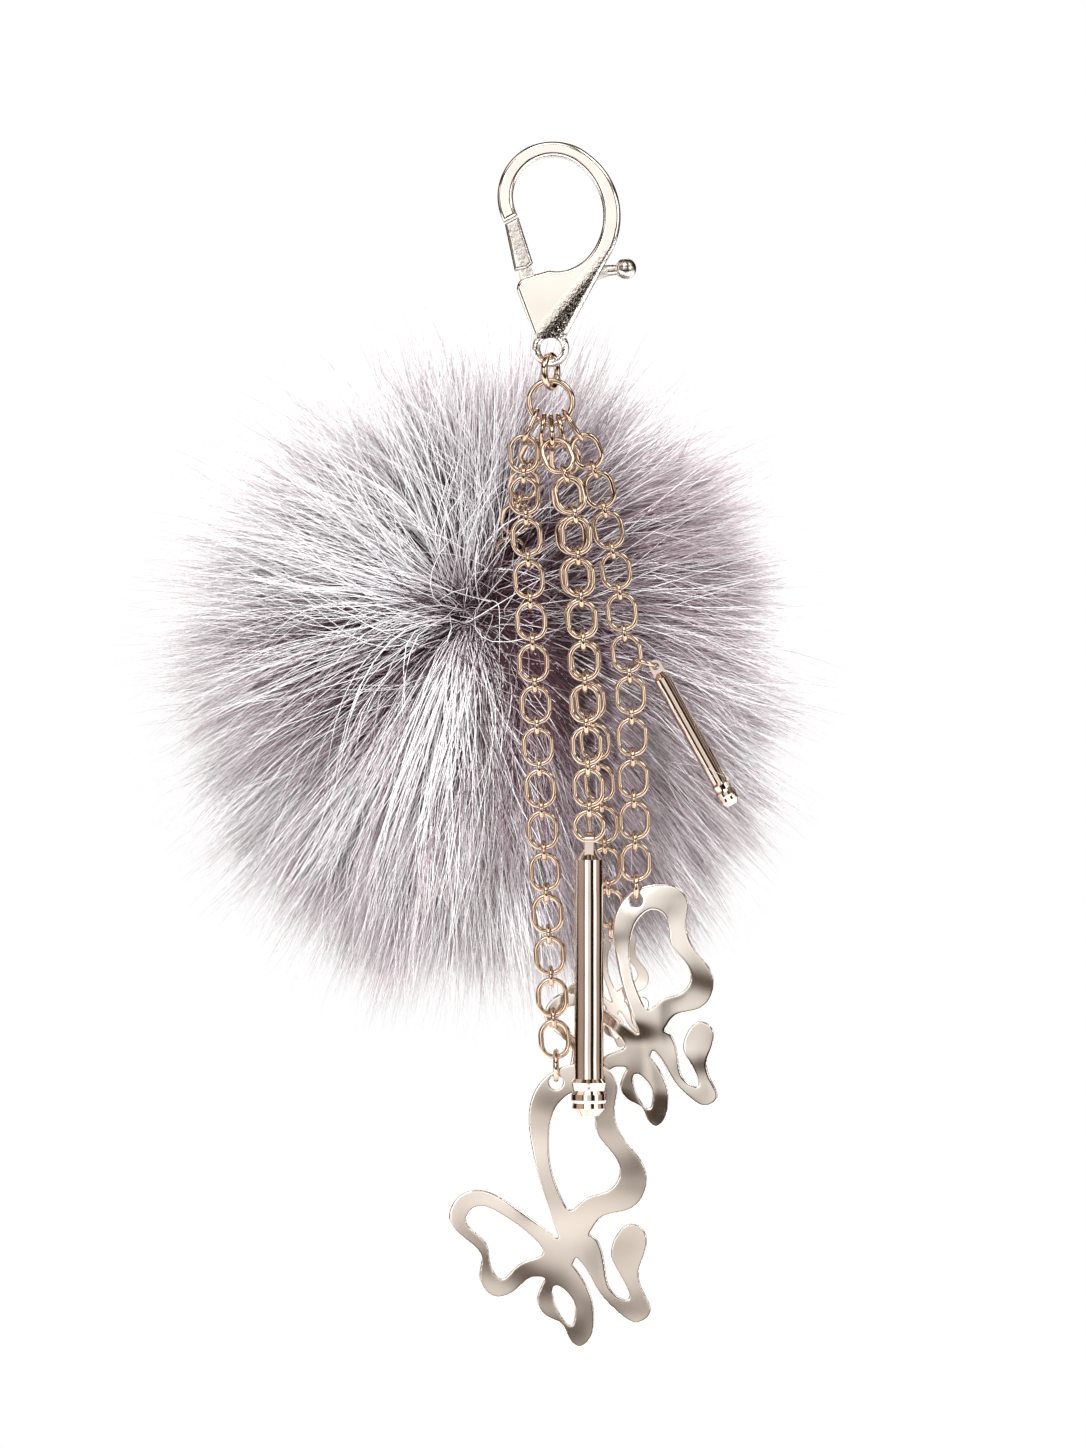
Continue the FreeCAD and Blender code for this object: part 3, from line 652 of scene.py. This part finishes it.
def make_fur():
    rng = np.random.default_rng(HAIR_SEED)
    paths, lock = fur_paths(rng)
    strays = stray_paths(rng)
    lock_tone = rng.uniform(0, 1, LOCKS)
    tones = 0.45 * lock_tone[lock] + 0.65 * rng.uniform(0, 1, len(paths))
    # hair tones darkened by painted shade
    tones = np.clip(tones - painted_shade_depth(paths), 0, 1)
    widths = rng.uniform(*HAIR_R, len(paths)) * 1.0
    paths = np.concatenate([paths, strays])
    tones = np.concatenate([tones, rng.uniform(0.55, 1.0, STRAYS)])
    widths = np.concatenate([widths, rng.uniform(*STRAY_R, STRAYS)])
    paths = within_reach(rng, paths)
    away = paths[:, 2] - CENTRE
    order = np.argsort(np.arctan2(away[:, 2], away[:, 0]), kind="stable")
    for number, chosen in enumerate(np.array_split(order, SECTORS)):
        name = f"pompom_hair_{number + 1:02d}"
        piece = new_piece(name, hair_mesh(name, paths[chosen], widths[chosen], tones[chosen]))
        set_material(piece, FUR)
        if number == 0:
            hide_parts("pompom_fur")
        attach(piece, "pompom")


def make_pelt():
    """Stuffed ball of pelt backing with slight sewn tucks."""
    mesh = bpy.data.meshes.new("pompom_pelt")
    builder = bmesh.new()
    bmesh.ops.create_icosphere(builder, subdivisions=5, radius=ROOT_R)
    for vertex in builder.verts:
        way = vertex.co.normalized()
        tuck = 0.35 * MM * math.sin(7 * math.atan2(way.z, way.x)) * (1 - abs(way.y))
        vertex.co += way * tuck
        vertex.co += Vector(CENTRE)
    for face in builder.faces:
        face.smooth = True
    builder.to_mesh(mesh)
    builder.free()
    piece = new_piece("pompom_pelt", mesh)
    set_material(piece, PELT)
    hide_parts("pompom_core")
    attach(piece, "pompom")


# ---------------------------------------------------------------- floor and light

FLOOR_WIDTH = 2.4
FLOOR_DEPTH = 1.1
FLOOR_CENTRE_Y = 0.25
FLOOR_DROP = 0.10                  # the keychain hangs this far above the floor
LIGHT_TARGET = (0, 0.02, -0.09)
LIGHTS = [                         # name, place, width and height, power
    ("key", (-0.55, -1.05, 0.55), (0.35, 0.35), 19.0),
    ("fill", (0.85, -0.80, 0.10), (0.30, 0.50), 8.5),
    ("top", (0.0, 0.25, 0.80), (0.6, 0.4), 7.0),
    ("rear", (0.45, 1.30, 0.35), (0.5, 0.5), 12.0),
]


def make_floor():
    """Pale floor under the hanging keychain."""
    half_x = FLOOR_WIDTH / 2
    half_y = FLOOR_DEPTH / 2
    corners = [(-half_x, -half_y, 0), (half_x, -half_y, 0), (half_x, half_y, 0), (-half_x, half_y, 0)]
    mesh = bpy.data.meshes.new("floor")
    mesh.from_pydata(corners, [], [(0, 1, 2, 3)])
    piece = new_piece("floor", mesh)
    piece.location = (0, FLOOR_CENTRE_Y, CAD_BOX[0][2] - FLOOR_DROP)
    set_material(piece, floor_material())


def area_light(name, location, size, power):
    data = bpy.data.lights.new(name, "AREA")
    data.shape = "RECTANGLE"
    data.size, data.size_y = size
    data.energy = power
    light = bpy.data.objects.new(name, data)
    light.location = location
    way = Vector(LIGHT_TARGET) - Vector(location)
    light.rotation_euler = way.to_track_quat("-Z", "Y").to_euler()
    light.visible_glossy = False
    bpy.context.scene.collection.objects.link(light)


BROWN = (0.022, 0.012, 0.007)
BEIGE = (0.50, 0.42, 0.36)
MID = (0.98, 0.97, 0.95)
LIT = (2.4, 2.4, 2.4)
SIDES = [                          # once round the keychain: 0 and 1 behind it, 0.5 straight in front
    (0.00, MID), (0.035, MID), (0.06, BROWN), (0.22, BROWN), (0.25, BEIGE), (0.375, BEIGE), (0.390, BROWN),
    (0.402, BROWN), (0.416, LIT), (0.455, LIT), (0.475, MID), (0.528, MID), (0.542, BROWN), (0.600, BROWN),
    (0.616, LIT), (0.655, LIT), (0.675, BEIGE), (0.74, BEIGE), (0.77, BROWN), (0.94, BROWN), (0.965, MID),
    (1.0, MID)]
LEVELS = [                         # from straight down, over the horizon at 0.5, to straight up
    (0.00, (0.12, 0.10, 0.09)), (0.28, BROWN), (0.38, (0.10, 0.075, 0.06)), (0.45, (0.80, 0.77, 0.75)),
    (0.50, (1.0, 0.99, 0.98)), (0.57, (1.25, 1.25, 1.25)), (0.60, LIT), (0.65, (0.20, 0.16, 0.14)),
    (0.72, (0.04, 0.028, 0.022)), (0.78, LIT), (0.88, LIT), (0.93, (0.22, 0.17, 0.14))]
WHITE = (1.0, 1.0, 1.0, 1.0)


def studio_world():
    """White surround; the metal mirrors soft boxes either side, a lit ceiling and dark gaps between them."""
    g = Graph(bpy.data.worlds.new("studio"), "Background")
    place = g.add("ShaderNodeTexCoord")
    split = g.add("ShaderNodeSeparateXYZ")
    g.join(place, "Generated", split, "Vector")
    forward = g.math("MULTIPLY", split, "Y", -1.0)
    around = g.add("ShaderNodeMath", operation="ARCTAN2")
    g.join(split, "X", around, 0)
    g.join(forward, 0, around, 1)
    turn = g.spread(around, 0, (-math.pi, math.pi))
    height = g.spread(split, "Z", (-1.0, 1.0))
    sides = g.ramp(turn, "Result", SIDES)
    levels = g.ramp(height, "Result", LEVELS)
    both = g.add("ShaderNodeMix", data_type="RGBA", blend_type="MULTIPLY")
    both.inputs[0].default_value = 1.0
    g.join(sides, "Color", both, 6)
    g.join(levels, "Color", both, 7)
    ray = g.add("ShaderNodeLightPath")
    shown = g.add("ShaderNodeMix", data_type="RGBA")
    shown.inputs[7].default_value = WHITE
    g.join(ray, "Is Camera Ray", shown, 0)
    g.join(both, 2, shown, 6)
    g.join(shown, 2, g.shader, "Color")
    g.shader.inputs["Strength"].default_value = 1.0
    bpy.context.scene.world = g.owner


# ---------------------------------------------------------------- build

finish_cad_nodes()
soften_plate("large_butterfly", PLATE_VOXEL, PLATE_ROUNDS, CHARM_METAL)
soften_plate("second_butterfly", PLATE_VOXEL, PLATE_ROUNDS, SECOND_METAL)
soften_plate("small_butterfly", SMALL_PLATE_VOXEL, SMALL_PLATE_ROUNDS, CHARM_METAL)
make_pelt()
make_fur()
make_floor()
studio_world()
for light in LIGHTS:
    area_light(*light)
bpy.context.scene.view_settings.view_transform = "Standard"

bpy.context.view_layer.update()
